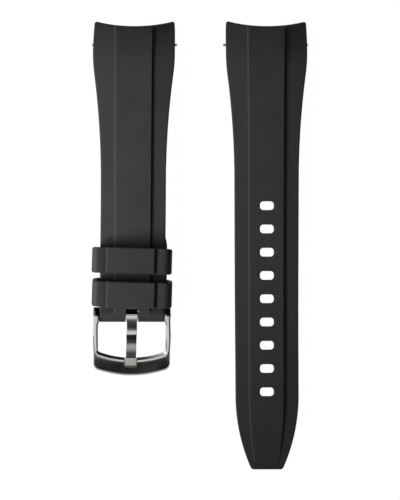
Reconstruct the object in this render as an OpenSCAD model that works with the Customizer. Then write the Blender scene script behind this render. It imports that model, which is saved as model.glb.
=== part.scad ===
// Two-piece rubber watch strap with curved lug ends, two keepers and a steel pin buckle.
// Sizes are in millimetres. Both halves lie side by side, lug ends towards +Y, faces up.

/* [Piece to draw] */
// One piece by name, or all of them

/* [Layout] */
// Distance between the two halves' centre lines
half_gap = 32.6; // [26:0.1:60]

/* [Lug ends] */
// Widest width of a lug end
lug_w = 19.86; // [19:0.02:22]
// Height of the side faces above the underside at the lug end
lug_h = 5.2; // [4.8:0.05:6.5]
// Plan radius of the hollow end that follows the watch case
case_r = 39; // [24:0.5:60]
// Distance from the hollow end to the widest place
widest_t = 6.5; // [5:0.1:9]
// Plan radius of the sides between the corners and the widest place
ear_r = 90; // [60:1:140]
// Plan radius of the rounded shoulders
shoulder_r = 40; // [25:1:60]
// Plan radius of the hollow flanks
flank_r = 200; // [150:5:260]
// Distance from the hollow end to where the top is level
crest_t = 9; // [7:0.1:12]
// Side radius of the top where it dips to the hollow end
crest_r = 30; // [22:0.5:60]
// Length of the thick block under a lug end
heel_t = 6.8; // [6:0.1:9]
// Radius of the hollow behind that block
heel_r = 9; // [6:0.1:14]
// Distance from the hollow end to the lug bar
lug_bar_t = 4.6; // [3.6:0.1:5.2]
// Height of the lug bar above the underside
lug_bar_z = 2.2; // [1.8:0.05:2.6]

/* [Buckle half] */
// Width of the straight run
run_w = 15.74; // [14.6:0.02:16]
// Thickness of the side faces along the run
strap_t = 2.6; // [2.2:0.05:2.9]
// Height of the raised centre band
band_h = 0.55; // [0.3:0.05:0.8]
// Width of the band at the hollow end
band_lug_w = 9.2; // [7:0.1:10]
// Width of the band at the buckle
band_run_w = 8.96; // [7:0.02:9.2]
// Distance from the hollow end to where the strap starts to bend down
bend_t = 57; // [54:0.5:60]
// Side radius of that bend
bend_r = 75; // [70:1:110]
// Distance from the hollow end to the buckle bar
pin_t = 70.55; // [69.5:0.05:72]
// How far the right edge bulges under the keepers
bulge_w = 0.3; // [0:0.01:0.35]
// Distance from the hollow end to the start of the bulge
bulge_t = 50.5; // [48:0.5:52]
// Length of the bulge
bulge_l = 17.5; // [16:0.5:17.5]
// Width of the slot for the tongue
slot_w = 3.0; // [2.9:0.02:3.6]
// Distance from the buckle bar to the closed end of the slot
slot_l = 1.62; // [1.56:0.01:1.9]
// Corner radius of the slot
slot_r = 0.7; // [0.3:0.05:0.8]

/* [Tail half] */
// Length from the hollow end to the tip
tail_l = 108.15; // [104:0.05:125]
// Width where the tip starts
tail_w = 15.36; // [14:0.02:15.6]
// Thickness of the side faces behind the lug end
tail_t = 2.4; // [2:0.05:2.7]
// Thickness at the tip
tip_t = 2.0; // [1.6:0.05:2.2]
// Length of the narrowing tip
tip_l = 18.15; // [17:0.05:20]
// Plan radius of the tip's sides
tip_r = 44; // [40:0.5:60]
// Corner radius at the end of the tip
tip_corner_r = 0.9; // [0.4:0.05:1.4]
// Width of the band where the tip starts
tail_band_w = 8.76; // [7:0.02:9]
// Plan radius of the band's sides along the tip
band_tip_r = 92; // [80:1:150]
// Distance from the tip to where the band has faded out
fade_l = 1.6; // [1:0.1:3]
// Number of holes
hole_n = 9; // [5:1:10]
// Distance from the hollow end to the first hole
hole_t = 43.8; // [41:0.1:46]
// Distance between holes
hole_pitch = 5.675; // [5:0.005:5.7]
// Width of a hole across the strap
hole_w = 3.35; // [3.2:0.05:3.8]
// Length of a hole along the strap
hole_l = 2.1; // [1.9:0.05:2.6]
// Corner radius of a hole
hole_r = 0.8; // [0.4:0.05:0.9]

/* [Keepers] */
// Space between a keeper's side walls and the strap's edges, each side
keeper_side_gap = 0.78; // [0.7:0.01:1.1]
// Length of a keeper along the strap
keeper_l = 6.3; // [5.4:0.05:6.6]
// Wall of a keeper
keeper_wall = 1.15; // [0.8:0.05:1.2]
// Outer corner radius of a keeper
keeper_r = 1.7; // [1.2:0.05:2]
// Inner corner radius of a keeper
keeper_in_r = 0.25; // [0.1:0.05:0.3]
// Space between a keeper and the faces of the straps
keeper_play = 0.18; // [0.16:0.01:0.3]
// How far the keepers sit towards the left edge
keeper_shift = 0.25; // [0.1:0.01:0.3]
// How far the keepers are turned on the strap, in degrees
keeper_yaw = 1.7; // [0:0.1:1.9]
// Distance from the hollow end to the middle of the upper keeper
upper_keeper_t = 57.25; // [56:0.05:57.4]
// Distance from the hollow end to the middle of the lower keeper
lower_keeper_t = 65.0; // [64.9:0.05:65.1]

/* [Buckle] */
// Gap between an arm and the strap's edge
arm_gap = 0.26; // [0.2:0.01:0.4]
// Width of an arm, seen from above
arm_w = 1.42; // [1.1:0.01:1.6]
// How far each end of the front bar stands in from the arms' outer faces
front_inset = 0.25; // [0.05:0.01:0.4]
// How far each arm swells outwards at its middle
arm_swell = 0.14; // [0:0.01:0.2]
// Distance from the buckle bar to the outer edge of the front bar
frame_l = 14.4; // [14:0.05:15]
// Width of the front bar at its middle
front_t = 3.15; // [2.8:0.05:3.4]
// Plan radius of the front bar's outer edge
front_r = 25.6; // [24:0.1:34]
// Plan radius of the window's front edge
window_r = 23; // [20:0.1:30]
// Outer corner radius of the front bar
front_corner_r = 1.7; // [0.8:0.05:2]
// Corner radius of the window
window_corner_r = 0.8; // [0.3:0.05:1]
// Slant of the front bar's inner wall, in degrees
window_slant = 17; // [0:1:20]
// Radius of the arms' ends round the bar
eye_r = 2.0; // [1.6:0.05:2.05]
// Height of the frame's crown above the bar
crown_h = 1.6; // [1.5:0.05:1.7]
// Distance from the bar to the crown
crown_t = 0.95; // [0.5:0.05:1.2]
// Side radius of the frame's top
crown_r = 26; // [25:0.5:30]
// Height of the hollow under the arms
arch_h = 1.5; // [1:0.05:1.6]
// Side radius of that hollow
arch_r = 14; // [12:0.5:16]
// Distance from the bar to the middle of that hollow
arch_t = 4.95; // [4.6:0.05:5.2]
// Depth of the rest for the tongue's tip
rest_d = 0.5; // [0.4:0.05:0.7]

/* [Tongue] */
// Width of the tongue
tongue_w = 2.4; // [2:0.05:2.6]
// Width of the pad at its tip
pad_w = 3.0; // [2.6:0.05:3.1]
// Length of the pad
pad_l = 2.3; // [2:0.05:2.35]
// Distance from the bar to the end of the pad
tongue_l = 12.6; // [12.2:0.05:12.65]
// Radius of the tongue's eye
tongue_eye_r = 1.35; // [1.25:0.01:1.4]
// Thickness of the tongue
tongue_t = 0.95; // [0.7:0.05:1]

/* [Spring bars] */
// Outer radius of a bar's tube
tube_r = 0.75; // [0.72:0.01:0.8]
// Bore radius of a tube
tube_bore_r = 0.63; // [0.62:0.01:0.65]
// Radial clearance of a part that slides or turns in another
fit_gap = 0.05; // [0.03:0.01:0.06]
// Radius of a tip's shaft where it leaves the tube
shaft_r = 0.48; // [0.46:0.01:0.5]
// Radius of a lug bar's nibs
nib_r = 0.32; // [0.28:0.01:0.4]
// Length of a lug bar's nibs
nib_l = 0.77; // [0.7:0.01:0.9]
// How far a lug bar's tube ends short of the strap's widest width, each side
lug_tube_inset = 0.63; // [0.5:0.01:0.85]
// How far a lug bar sits towards the other half
lug_bar_shift = 0.33; // [0.1:0.01:0.35]
// How far the buckle bar's tube ends short of the strap's edges, each side
buckle_tube_inset = 0.02; // [0:0.01:0.2]
// How far the buckle bar's tips end short of the frame's outer faces
buckle_tip_inset = 0.3; // [0.2:0.01:0.4]
// Length of a tip's head inside the tube
head_l = 3.2; // [2:0.1:3.8]
// Radius of a spring's wire
wire_r = 0.09; // [0.07:0.01:0.1]
// Number of curls of a spring
spring_curls = 12; // [8:1:14]

/* [Hidden] */
$fn = 180;

far = 400;
rubber_colour = [0.16, 0.16, 0.16];
steel_colour = [0.7, 0.69, 0.67];

// Shoulder and flank arcs touch each other and run out parallel to the straight sides
flank_dx = shoulder_r + flank_r - (lug_w - run_w) / 2;
flank_dy = sqrt(pow(shoulder_r + flank_r, 2) - pow(flank_dx, 2));
flank_end_t = widest_t + flank_dy;
shoulder_end_t = widest_t + flank_dy * shoulder_r / (shoulder_r + flank_r);

// Corners of the hollow end
corner_x = ear_x(0);
corner_t = sqrt(pow(case_r, 2) - pow(corner_x, 2)) - case_r;

// Underside of the run and the end of the hollow behind the heel
run_under = lug_h - strap_t;
heel_end_t = heel_t + sqrt(pow(heel_r, 2) - pow(heel_r - run_under, 2));
tail_under = lug_h - tail_t;
tail_heel_end_t = heel_t + sqrt(pow(heel_r, 2) - pow(heel_r - tail_under, 2));

// Bend towards the buckle, as a ring round one centre
bend_z = lug_h - bend_r;
mid_r = bend_r + (band_h - strap_t) / 2;
pin_a = asin((pin_t - bend_t) / mid_r);
pin_z = bend_z + mid_r * cos(pin_a);
half_t = (strap_t + band_h) / 2;
barrel_r = half_t + 0.03;

// Straight top of the tail, touching the arc of the lug end
tail_d = norm([tail_l - crest_t, tip_t - (lug_h - crest_r)]);
tail_a = atan2(tip_t - (lug_h - crest_r), tail_l - crest_t) + acos(crest_r / tail_d);
tail_touch = [crest_t + crest_r * cos(tail_a), lug_h - crest_r + crest_r * sin(tail_a)];
tail_fall = (tail_touch[1] - tip_t) / (tail_l - tail_touch[0]);
tip_start_t = tail_l - tip_l;

// Keeper section, high enough for both straps
keeper_in_w = run_w + 2 * keeper_side_gap;
keeper_w = keeper_in_w + 2 * keeper_wall;
keeper_in_h = strap_t + band_h + tail_t + 2 * keeper_play;
keeper_h = keeper_in_h + 2 * keeper_wall;
keeper_band_w = band_run_w + 2 * keeper_play + 2 * keeper_wall + 0.3;

// Upper keeper lies on the level run, lower keeper on the bend
lower_keeper_a = asin((lower_keeper_t - bend_t) / mid_r);

// Buckle frame
frame_in_w = run_w + 2 * arm_gap;
frame_w = frame_in_w + 2 * arm_w;
front_w = frame_w - 2 * front_inset;
front_in_t = frame_l - front_t;
front_in_z = crown_h - crown_r + sqrt(pow(crown_r, 2) - pow(front_in_t - crown_t, 2));
rest_t = frame_l - front_t / 2 - 0.95;
rest_z = crown_h - crown_r + sqrt(pow(crown_r, 2) - pow(rest_t - crown_t, 2));
rest_a = asin((rest_t - crown_t) / crown_r);

// Spring bars
lug_tube_l = lug_w - 2 * lug_tube_inset;
buckle_tube_l = run_w - 2 * buckle_tube_inset;
buckle_tip_l = (frame_w - buckle_tube_l) / 2 - buckle_tip_inset;

// Where the halves lie, so that the whole lies centred on the origin.
// A lug bar's nib on the inner side starts just clear of the rubber.
keeper_reach = keeper_shift + keeper_w / 2 * cos(keeper_yaw) + keeper_l / 2 * sin(keeper_yaw);
lug_shaft_l = ear_x(lug_bar_t) + 0.02 - lug_bar_shift - lug_tube_l / 2;
bar_half_l = lug_tube_l / 2 + lug_shaft_l + nib_l;
outer_reach = max(lug_w / 2, bar_half_l - lug_bar_shift);
left_x = -half_gap / 2 + (max(outer_reach, keeper_reach) - outer_reach) / 2;
right_x = half_gap / 2 + (max(outer_reach, keeper_reach) - outer_reach) / 2;
zero_y = (tail_l + corner_t) / 2;

echo(left_x = left_x, right_x = right_x, zero_y = zero_y, pin_y = zero_y - pin_t, pin_z = pin_z);
echo(lower_keeper_a = lower_keeper_a, lug_bar_y = zero_y - lug_bar_t, lug_shaft_l = lug_shaft_l, corner_t = corner_t);

// Half width of the lug end at a distance from the hollow end
function ear_x(t) = lug_w / 2 - ear_r + sqrt(pow(ear_r, 2) - pow(widest_t - t, 2));

// Height of the tail's side faces at a distance from the hollow end
function tail_z(t) = tail_touch[1] - tail_fall * (t - tail_touch[0]);

// Side outline, drawn as distance from the hollow end and height, carried across the strap
module across(w) {
    rotate([90, 0, -90])
        linear_extrude(height = w, center = true)
            children();
}

// Plan outline, drawn as distance across and distance from the hollow end, carried upwards
module upright(z0, z1) {
    translate([0, 0, z0])
        linear_extrude(height = z1 - z0)
            mirror([0, 1])
                children();
}

module round_rect(w, l, r) {
    square([w - 2 * r, l], center = true);
    square([w, l - 2 * r], center = true);
    for (i = [-1, 1])
        for (j = [-1, 1])
            translate([i * (w / 2 - r), j * (l / 2 - r)])
                circle(r);
}

// Cylinder along X about its own middle
module rod(r, l) {
    rotate([0, 90, 0])
        cylinder(r = r, h = l, center = true);
}

// Plan of a lug end and the sides down to a given distance
module lug_plan(end_t) {
    difference() {
        union() {
            intersection() {
                translate([-lug_w, corner_t - 2])
                    square([2 * lug_w, widest_t - corner_t + 2]);
                for_both_sides(lug_w / 2 - ear_r, widest_t, ear_r);
            }
            intersection() {
                translate([-lug_w, widest_t])
                    square([2 * lug_w, shoulder_end_t - widest_t]);
                for_both_sides(lug_w / 2 - shoulder_r, widest_t, shoulder_r);
            }
            translate([-lug_w / 2, shoulder_end_t])
                square([lug_w, end_t - shoulder_end_t]);
        }
        translate([0, -case_r])
            circle(case_r);
        for (i = [-1, 1])
            translate([i * (run_w / 2 + flank_r), flank_end_t])
                circle(flank_r);
        for (i = [-1, 1])
            translate([i > 0 ? run_w / 2 : -run_w / 2 - lug_w, flank_end_t])
                square([lug_w, far]);
    }
}

// Two equal discs, one about each side, keeping only what both cover
module for_both_sides(x, t, r) {
    intersection() {
        translate([x, t])
            circle(r);
        translate([-x, t])
            circle(r);
    }
}

// Side outline of the lug end, up to a given distance, with its top raised by the band or not
module lug_side(rise, end_t, under_z, under_t, under_end_t = far) {
    difference() {
        translate([corner_t - 2, 0])
            square([end_t - corner_t + 2, lug_h + rise]);
        difference() {
            translate([corner_t - 4, 0])
                square([crest_t - corner_t + 4, lug_h + rise + 1]);
            translate([crest_t, lug_h - crest_r])
                circle(crest_r + rise);
        }
        translate([under_t, under_z - heel_r])
            circle(heel_r);
        translate([under_t, -1])
            square([under_end_t - under_t, under_z + 1]);
    }
}

// Side outline of the buckle half as far as its bar: level, then bending down
module buckle_side(rise) {
    difference() {
        lug_side(rise, pin_t + 2, run_under, heel_end_t, bend_t);
        difference() {
            translate([bend_t, -1])
                square([far, lug_h + rise + 2]);
            translate([bend_t, bend_z])
                circle(bend_r + rise);
        }
        translate([bend_t, bend_z])
            circle(bend_r - strap_t);
        translate([pin_t, pin_z])
            rotate(-pin_a)
                translate([0, -far / 2])
                    square(far);
    }
}

// Thick round end that holds the buckle bar
module barrel_side() {
    translate([pin_t, pin_z])
        rotate(-pin_a)
            intersection() {
                circle(barrel_r);
                translate([-0.05, -barrel_r])
                    square([barrel_r + 0.05, 2 * barrel_r]);
            }
}

module buckle_plan() {
    lug_plan(pin_t + barrel_r + 1);
    // the bulge is the same width again, moved to the right
    translate([bulge_w, bulge_t + bulge_l / 2])
        round_rect(run_w, bulge_l, 2.4);
}

module band_plan(w, end_t) {
    polygon([
        [-band_lug_w / 2, corner_t - 2], [band_lug_w / 2, corner_t - 2],
        [w / 2, end_t], [-w / 2, end_t]
    ]);
}

module buckle_strap() {
    color(rubber_colour)
        translate([left_x, zero_y, 0])
            difference() {
                union() {
                    intersection() {
                        across(lug_w + 4) buckle_side(0);
                        upright(-1, lug_h + 2) buckle_plan();
                    }
                    intersection() {
                        across(lug_w + 4) buckle_side(band_h);
                        upright(-1, lug_h + 2) band_plan(band_run_w, pin_t + 1);
                        upright(-1, lug_h + 2) lug_plan(pin_t + 1);
                    }
                    across(run_w) barrel_side();
                }
                upright(-1, lug_h + 2)
                    translate([0, pin_t + slot_l])
                        round_rect(slot_w, 4 * slot_l, slot_r);
                translate([0, -pin_t, pin_z])
                    rod(tube_r + fit_gap, lug_w + 4);
                translate([0, -lug_bar_t, lug_bar_z])
                    rod(tube_r + fit_gap, lug_w + 4);
            }
}

// Round corner of the tip, touching its side and its end
tip_c = [
    tail_w / 2 - tip_r + sqrt(pow(tip_r - tip_corner_r, 2) - pow(tip_l - tip_corner_r, 2)),
    tail_l - tip_corner_r
];
tip_touch_t = tip_start_t + (tip_l - tip_corner_r) * tip_r / (tip_r - tip_corner_r);

module tail_plan() {
    intersection() {
        lug_plan(tip_start_t);
        polygon([
            [-lug_w, corner_t - 2], [lug_w, corner_t - 2], [lug_w, flank_end_t], [run_w / 2, flank_end_t],
            [tail_w / 2, tip_start_t], [-tail_w / 2, tip_start_t], [-run_w / 2, flank_end_t], [-lug_w, flank_end_t]
        ]);
    }
    intersection() {
        translate([-tail_w, tip_start_t])
            square([2 * tail_w, tip_touch_t - tip_start_t]);
        for_both_sides(tail_w / 2 - tip_r, tip_start_t, tip_r);
    }
    for (i = [-1, 1])
        translate([i * tip_c[0], tip_c[1]])
            circle(tip_corner_r);
    translate([-tip_c[0], tip_touch_t - 2])
        square([2 * tip_c[0], tail_l - tip_touch_t + 2]);
}

module tail_band_plan() {
    band_plan(tail_band_w, tip_start_t);
    intersection() {
        translate([-tail_w, tip_start_t])
            square([2 * tail_w, tip_l - fade_l]);
        for_both_sides(tail_band_w / 2 - band_tip_r, tip_start_t, band_tip_r);
    }
}

// Side outline of the tail, sloping down to lie on its tip
module tail_side() {
    join_t = tail_heel_end_t + 0.5;
    intersection() {
        lug_side(0, join_t, tail_under, tail_heel_end_t);
        polygon([
            [corner_t - 4, -1], [join_t, -1], [join_t, tail_z(join_t)],
            tail_touch, [corner_t - 4, tail_z(corner_t - 4)]
        ]);
    }
    polygon([
        [join_t - 0.4, tail_under], [join_t - 0.4, tail_z(join_t - 0.4)],
        [tail_l + 1, tail_z(tail_l + 1)], [tail_l + 1, 0], [tail_l, 0]
    ]);
}

// The band's own top, level with the tail as far as the tip and then dying out
module tail_band_side() {
    band_foot = tail_touch + band_h * [cos(tail_a), sin(tail_a)];
    lug_side(band_h, tail_touch[0], tail_under, tail_heel_end_t);
    polygon([
        [tail_touch[0] - 1, tail_z(tail_touch[0]) - 1], [crest_t, lug_h + band_h], band_foot,
        [tip_start_t + 2, tail_z(tip_start_t + 2) + band_h],
        [tip_start_t + tip_l * 0.62, tail_z(tip_start_t + tip_l * 0.62) + band_h * 0.62],
        [tail_l - fade_l, tail_z(tail_l - fade_l)], [tail_l - fade_l, tail_z(tail_l - fade_l) - 1]
    ]);
}

module tail_strap() {
    color(rubber_colour)
        translate([right_x, zero_y, 0])
            difference() {
                union() {
                    intersection() {
                        across(lug_w + 4) tail_side();
                        upright(-1, lug_h + 2) tail_plan();
                    }
                    intersection() {
                        across(lug_w + 4) tail_band_side();
                        upright(-1, lug_h + 2) tail_band_plan();
                        upright(-1, lug_h + 2) tail_plan();
                    }
                }
                for (i = [0 : hole_n - 1])
                    upright(-1, lug_h + 2)
                        translate([0, hole_t + i * hole_pitch])
                            round_rect(hole_w, hole_l, hole_r);
                translate([0, -lug_bar_t, lug_bar_z])
                    rod(tube_r + fit_gap, lug_w + 4);
            }
}

// Section of a keeper, standing on the middle of its bottom wall's underside
module keeper_section() {
    difference() {
        union() {
            translate([0, keeper_h / 2])
                round_rect(keeper_w, keeper_h, keeper_r);
            translate([-keeper_band_w / 2, keeper_h - 2])
                square([keeper_band_w, 2 + band_h]);
        }
        translate([0, keeper_h / 2])
            round_rect(keeper_in_w, keeper_in_h, keeper_in_r);
        translate([keeper_wall - keeper_band_w / 2, keeper_wall + 1])
            square([keeper_band_w - 2 * keeper_wall, keeper_in_h - 1 + band_h]);
    }
}

// A keeper about the middle of the strap's thickness under it
module keeper() {
    color(rubber_colour)
        rotate([0, 0, -keeper_yaw])
            translate([0, 0, -half_t - keeper_play - keeper_wall])
                rotate([90, 0, 0])
                    linear_extrude(height = keeper_l, center = true)
                        keeper_section();
}

module upper_keeper() {
    translate([left_x - keeper_shift, zero_y - upper_keeper_t, bend_z + mid_r])
        keeper();
}

module lower_keeper() {
    translate([left_x - keeper_shift, zero_y - lower_keeper_t, bend_z + mid_r * cos(lower_keeper_a)])
        rotate([lower_keeper_a, 0, 0])
            keeper();
}

// Frame seen from the side, about the buckle bar
module frame_side() {
    difference() {
        union() {
            circle(eye_r);
            intersection() {
                translate([crown_t, crown_h - crown_r])
                    circle(crown_r);
                translate([0, -pin_z])
                    square([frame_l + 1, pin_z + crown_h]);
            }
        }
        translate([arch_t, arch_h - pin_z - arch_r])
            circle(arch_r);
    }
}

// Frame seen from above, with a swell on each arm and round front corners
module frame_plan() {
    side_x = front_w / 2 - front_corner_r;
    corner_y = frame_l - front_r + sqrt(pow(front_r - front_corner_r, 2) - pow(side_x, 2));
    side = [
        [frame_w / 2, -eye_r - 1], [frame_w / 2, 1.8], [frame_w / 2 + arm_swell * 0.6, 3.8],
        [frame_w / 2 + arm_swell, 5.1], [frame_w / 2 + arm_swell * 0.4, 6.1],
        [front_w / 2 + 0.05, 7.9], [front_w / 2, 9.6], [front_w / 2, corner_y]
    ];
    polygon(concat(side, [for (i = [len(side) - 1 : -1 : 0]) [-side[i][0], side[i][1]]]));
    for (i = [-1, 1])
        translate([i * side_x, corner_y])
            circle(front_corner_r);
    intersection() {
        translate([0, frame_l - front_r])
            circle(front_r);
        translate([-side_x * front_r / (front_r - front_corner_r), corner_y - 2])
            square([2 * side_x * front_r / (front_r - front_corner_r), far]);
    }
}

module window_plan() {
    side_x = frame_in_w / 2 - window_corner_r;
    centre_y = front_in_t - window_r;
    corner_y = centre_y + sqrt(pow(window_r - window_corner_r, 2) - pow(side_x, 2));
    translate([-frame_in_w / 2, -frame_l])
        square([frame_in_w, corner_y + frame_l]);
    for (i = [-1, 1])
        translate([i * side_x, corner_y])
            circle(window_corner_r);
    intersection() {
        translate([0, centre_y])
            circle(window_r);
        translate([-side_x * window_r / (window_r - window_corner_r), corner_y - 2])
            square([2 * side_x * window_r / (window_r - window_corner_r), far]);
    }
}

module buckle_frame() {
    color(steel_colour)
        translate([left_x, zero_y - pin_t, pin_z])
            difference() {
                intersection() {
                    across(frame_w + 4) frame_side();
                    upright(-frame_l, frame_l) frame_plan();
                }
                translate([0, -front_in_t, front_in_z])
                    rotate([window_slant, 0, 0])
                        translate([0, front_in_t, 0])
                            upright(-frame_l, frame_l) window_plan();
                translate([0, -rest_t, rest_z])
                    rotate([rest_a, 0, 0])
                        translate([0, 1.95 - (tongue_l - rest_t) / cos(rest_a) - rest_d * sin(rest_a), 2 - rest_d])
                            cube([pad_w + 0.3, 4, 4], center = true);
                rod(shaft_r + fit_gap, frame_w + 4);
            }
}

// Height of the rest's floor at a distance from the bar
function floor_z(t) = rest_z - rest_d / cos(rest_a) - tan(rest_a) * (t - rest_t);

// Tongue seen from the side: a level piece over the bar, a step down, and a slope to the rest
module strip_side() {
    top_z = tongue_eye_r - 0.05;
    low_z = top_z - 0.85;
    difference() {
        union() {
            circle(tongue_eye_r);
            polygon([
                [0, top_z], [2.9, top_z], [3.4, top_z - 0.08], [3.9, top_z - 0.32], [4.5, low_z + 0.18],
                [5.1, low_z], [tongue_l - pad_l - 1.6, low_z - 0.2], [tongue_l - pad_l, low_z - 0.4],
                [tongue_l - 0.6, floor_z(tongue_l - 0.6) + 0.4], [tongue_l - 0.6, floor_z(tongue_l - 0.6) + 0.05],
                [front_in_t - 0.25, floor_z(front_in_t - 0.25) + 0.05],
                [5.0, low_z - tongue_t - 0.02], [4.2, low_z - tongue_t + 0.22], [3.2, top_z - tongue_t - 0.14],
                [1, top_z - tongue_t]
            ]);
        }
        circle(tube_r + fit_gap);
    }
}

module pad_side() {
    pad_t = tongue_l - pad_l;
    polygon([
        [pad_t, floor_z(pad_t) + 0.25], [pad_t, floor_z(pad_t) + 1.0], [pad_t + 0.25, floor_z(pad_t) + 1.22],
        [pad_t + 0.8, floor_z(pad_t + 0.8) + 1.26], [tongue_l - 0.4, floor_z(tongue_l - 0.4) + 1.06],
        [tongue_l, floor_z(tongue_l) + 0.74], [tongue_l, floor_z(tongue_l) + 0.05],
        [front_in_t, floor_z(front_in_t) + 0.05]
    ]);
}

module buckle_tongue() {
    color(steel_colour)
        translate([left_x, zero_y - pin_t, pin_z]) {
            across(tongue_w) strip_side();
            intersection() {
                across(pad_w + 1) pad_side();
                upright(-4, 4)
                    translate([0, tongue_l - pad_l / 2])
                        round_rect(pad_w, pad_l, 0.55);
            }
        }
}

// Tube of a spring bar, closed in at both ends
module bar_tube(l, out_r) {
    color(steel_colour)
        difference() {
            rod(tube_r, l);
            rod(tube_bore_r, l - 0.8);
            rod(out_r + fit_gap, l + 2);
        }
}

// Right-hand tip of a spring bar: head in the tube, shaft through its end, nib
module bar_tip(l, shaft_l, end_r, end_l) {
    color(steel_colour)
        translate([l / 2 - 0.45, 0, 0]) {
            translate([-head_l / 2, 0, 0])
                rod(tube_bore_r - fit_gap, head_l);
            translate([(0.45 + shaft_l) / 2 - 0.1, 0, 0])
                rod(shaft_r, 0.45 + shaft_l + 0.2);
            if (end_l > 0)
                translate([0.45 + shaft_l, 0, 0])
                    rotate([0, 90, 0]) {
                        cylinder(r = end_r, h = end_l - 0.08);
                        translate([0, 0, end_l - 0.08])
                            cylinder(r1 = end_r, r2 = end_r - 0.08, h = 0.08);
                    }
        }
}

// Points round a wire that winds along X from -l/2 to l/2
function coil_rings(l, r, curls) = [
    for (i = [0 : 8 * curls])
        let (
            a = 45 * i,
            x = -l / 2 + wire_r + (l - 2 * wire_r) * i / (8 * curls),
            lead = atan((l - 2 * wire_r) / curls / (2 * PI * r))
        )
        [for (j = [0 : 5])
            let (b = 60 * j, c = wire_r * cos(b), d = wire_r * sin(b))
            [
                x + d * cos(lead),
                (r + c) * cos(a) + d * sin(lead) * sin(a),
                (r + c) * sin(a) - d * sin(lead) * cos(a)
            ]]
];

module bar_spring(l) {
    coil_r = tube_bore_r - fit_gap - wire_r - 0.04;
    rings = coil_rings(l, coil_r, spring_curls);
    last = len(rings) - 1;
    points = [for (ring = rings) for (p = ring) p];
    echo(spring_gap = min([
        for (i = [0 : last - 8]) for (j = [0 : 5]) norm(rings[i + 8][j] - rings[i][j])
    ]) - 2 * wire_r);
    color(steel_colour)
        polyhedron(points = points, faces = concat(
            [for (i = [0 : last - 1]) for (j = [0 : 5])
                [6 * i + j, 6 * i + (j + 1) % 6, 6 * i + 6 + j]],
            [for (i = [0 : last - 1]) for (j = [0 : 5])
                [6 * i + (j + 1) % 6, 6 * i + 6 + (j + 1) % 6, 6 * i + 6 + j]],
            [for (j = [1 : 4]) [0, j + 1, j]],
            [for (j = [1 : 4]) [6 * last, 6 * last + j, 6 * last + j + 1]]
        ));
}

function spring_l(tube_l) = tube_l - 0.9 - 2 * head_l - 0.06;

module at_buckle_bar() {
    translate([left_x, zero_y - pin_t, pin_z])
        children();
}

module buckle_bar_tube() {
    at_buckle_bar() bar_tube(buckle_tube_l, shaft_r);
}

module buckle_bar_right_tip() {
    at_buckle_bar() bar_tip(buckle_tube_l, buckle_tip_l - 0.12, shaft_r - 0.02, 0.12);
}

module buckle_bar_left_tip() {
    at_buckle_bar() mirror([1, 0, 0]) bar_tip(buckle_tube_l, buckle_tip_l - 0.12, shaft_r - 0.02, 0.12);
}

module buckle_bar_spring() {
    at_buckle_bar() bar_spring(spring_l(buckle_tube_l));
}

module at_buckle_lug_bar() {
    translate([left_x + lug_bar_shift, zero_y - lug_bar_t, lug_bar_z])
        children();
}

module buckle_lug_bar_tube() {
    at_buckle_lug_bar() bar_tube(lug_tube_l, shaft_r);
}

module buckle_lug_bar_inner_tip() {
    at_buckle_lug_bar() bar_tip(lug_tube_l, lug_shaft_l, nib_r, nib_l);
}

module buckle_lug_bar_outer_tip() {
    at_buckle_lug_bar() mirror([1, 0, 0]) bar_tip(lug_tube_l, lug_shaft_l, nib_r, nib_l);
}

module buckle_lug_bar_spring() {
    at_buckle_lug_bar() bar_spring(spring_l(lug_tube_l));
}

module at_tail_lug_bar() {
    translate([right_x - lug_bar_shift, zero_y - lug_bar_t, lug_bar_z])
        mirror([1, 0, 0])
            children();
}

module tail_lug_bar_tube() {
    at_tail_lug_bar() bar_tube(lug_tube_l, shaft_r);
}

module tail_lug_bar_inner_tip() {
    at_tail_lug_bar() bar_tip(lug_tube_l, lug_shaft_l, nib_r, nib_l);
}

module tail_lug_bar_outer_tip() {
    at_tail_lug_bar() mirror([1, 0, 0]) bar_tip(lug_tube_l, lug_shaft_l, nib_r, nib_l);
}

module tail_lug_bar_spring() {
    at_tail_lug_bar() bar_spring(spring_l(lug_tube_l));
}

buckle_strap();
tail_strap();
upper_keeper();
lower_keeper();
buckle_frame();
buckle_tongue();
buckle_bar_tube();
buckle_bar_left_tip();
buckle_bar_right_tip();
buckle_bar_spring();
buckle_lug_bar_tube();
buckle_lug_bar_inner_tip();
buckle_lug_bar_outer_tip();
buckle_lug_bar_spring();
tail_lug_bar_tube();
tail_lug_bar_inner_tip();
tail_lug_bar_outer_tip();
tail_lug_bar_spring();
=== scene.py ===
import math

import bmesh
import bpy
import numpy as np
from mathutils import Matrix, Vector


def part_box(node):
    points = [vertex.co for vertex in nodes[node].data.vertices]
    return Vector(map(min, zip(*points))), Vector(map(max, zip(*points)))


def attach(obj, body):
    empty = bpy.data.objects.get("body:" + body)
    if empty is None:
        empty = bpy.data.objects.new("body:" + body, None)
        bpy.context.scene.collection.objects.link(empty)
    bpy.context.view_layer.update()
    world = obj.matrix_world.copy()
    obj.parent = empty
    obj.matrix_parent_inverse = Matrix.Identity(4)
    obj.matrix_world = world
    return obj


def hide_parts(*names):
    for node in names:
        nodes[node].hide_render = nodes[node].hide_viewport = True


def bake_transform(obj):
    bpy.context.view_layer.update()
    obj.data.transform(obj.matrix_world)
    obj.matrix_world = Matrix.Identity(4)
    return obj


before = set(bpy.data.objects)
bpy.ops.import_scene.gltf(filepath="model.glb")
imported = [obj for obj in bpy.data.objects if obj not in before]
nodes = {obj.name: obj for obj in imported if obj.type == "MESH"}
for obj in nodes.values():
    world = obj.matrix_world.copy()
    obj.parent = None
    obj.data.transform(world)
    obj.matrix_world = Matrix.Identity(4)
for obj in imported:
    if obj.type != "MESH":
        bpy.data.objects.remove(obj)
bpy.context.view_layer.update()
scene = bpy.context.scene
print("frame loaded,", len(nodes), "nodes")


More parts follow.
